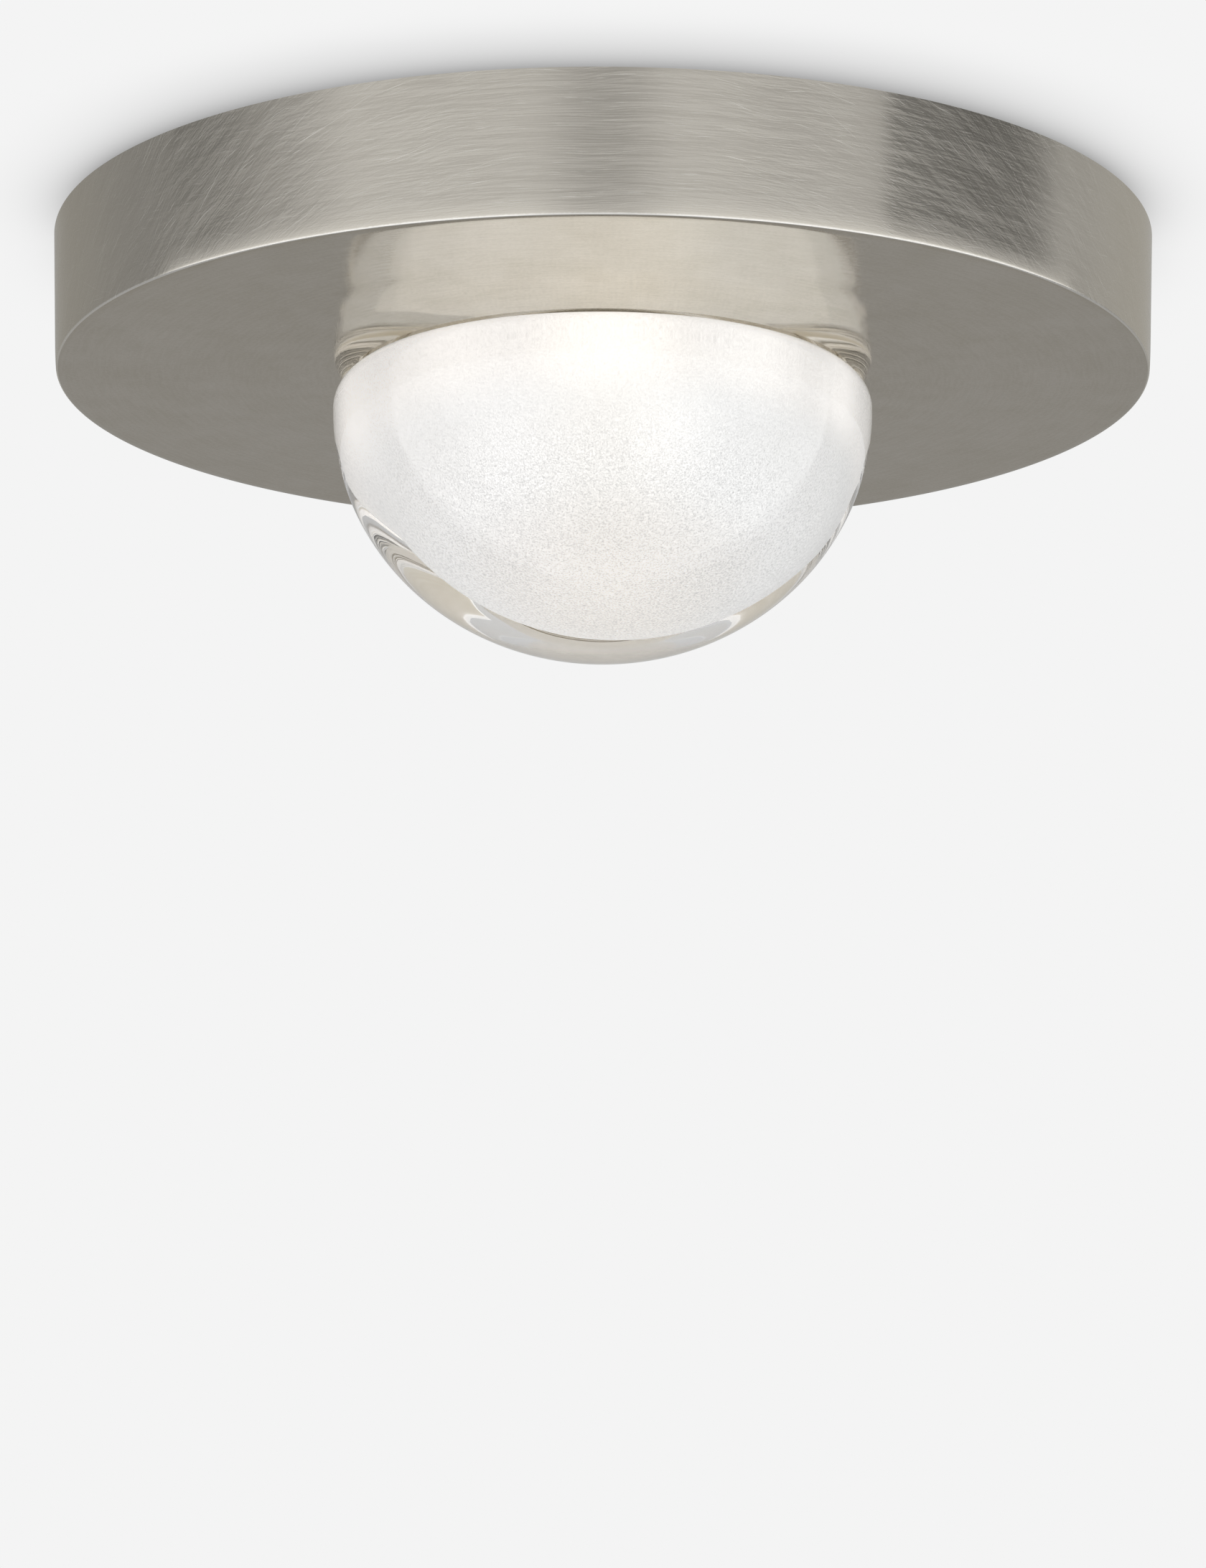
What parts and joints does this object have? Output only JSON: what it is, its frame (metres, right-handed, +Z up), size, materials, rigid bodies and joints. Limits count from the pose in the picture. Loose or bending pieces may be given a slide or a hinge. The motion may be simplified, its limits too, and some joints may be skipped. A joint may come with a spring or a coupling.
{
  "type": "flush mount ceiling light",
  "caption": "Flush mount ceiling light: a shallow round brushed-metal canopy over a thick clear glass half-ball with a frosted hollow, screwed on around an LED board.",
  "frame": {"origin": "middle of the mounting plate's top face, in the ceiling plane", "axes": "+Z up into the ceiling along the light's axis, +X towards the driver, +Y towards one hanger stud"},
  "size_m": [0.3584, 0.3584, 0.1366],
  "materials": {
    "nickel": "brushed warm nickel, satin",
    "clear_glass": "clear outside, frosted hollow",
    "white_metal": "white powder coat",
    "zinc_steel": "zinc plated",
    "bright_nickel": "polished nickel",
    "aluminium": "extruded",
    "silicone": "translucent silicone",
    "grey_pad": "soft thermal pad",
    "board_white": "white solder mask",
    "chip_yellow": "phosphor",
    "connector_white": "moulded",
    "opal_plastic": "opal",
    "black_rubber": "moulded",
    "red_insulation": "wire insulation",
    "black_insulation": "wire insulation",
    "white_insulation": "wire insulation",
    "green_insulation": "wire insulation",
    "case_plastic": "fine texture",
    "circuit_green": "solder mask",
    "core_yellow": "taped winding",
    "can_black": "shrink sleeve",
    "terminal_plastic": "moulded",
    "green_steel": "green dip",
    "brass": "tinned"
  },
  "bodies": {
    "canopy": {"canopy_pan": "nickel", "back_plate": "zinc_steel", "mounting_plate": "zinc_steel", "hanger_studs": "zinc_steel", "lock_nuts": "zinc_steel", "nut_washers": "zinc_steel", "cap_nuts": "bright_nickel", "holder_collar": "white_metal", "collar_screws": "bright_nickel", "heat_sink": "aluminium", "thermal_pad": "grey_pad", "led_board": "board_white", "led_chips": "chip_yellow", "led_board_screws": "bright_nickel", "led_connector": "connector_white", "led_cover": "opal_plastic", "lead_grommet": "black_rubber", "led_lead_red": "red_insulation", "led_lead_black": "black_insulation", "driver_housing": "case_plastic", "driver_lid": "case_plastic", "driver_lid_screws": "zinc_steel", "driver_board": "circuit_green", "driver_transformer": "core_yellow", "driver_capacitors": "can_black", "terminal_block": "terminal_plastic", "terminal_screws": "zinc_steel", "supply_lead_black": "black_insulation", "supply_lead_white": "white_insulation", "earth_lugs": "brass", "earth_lead": "green_insulation", "ground_screw": "green_steel", "stud_nuts": "zinc_steel"},
    "gasket": {"rim_gasket": "silicone"},
    "dome": {"glass_dome": "clear_glass", "dome_ring": "white_metal"}
  },
  "joints": [
    {"name": "dome_descend", "type": "slide", "parent": "canopy", "child": "gasket", "axis": [0, 0, -1], "range_m": [0, 0.006]},
    {"name": "dome_unscrew", "type": "hinge", "parent": "gasket", "child": "dome", "pos_m": [0, 0, -0.0453], "axis": [0, 0, -1], "range_deg": [0, 720]}
  ],
  "couplings": [
    {"joint": "dome_descend", "follows": "dome_unscrew", "m_per_rad": 0.00047746}
  ]
}
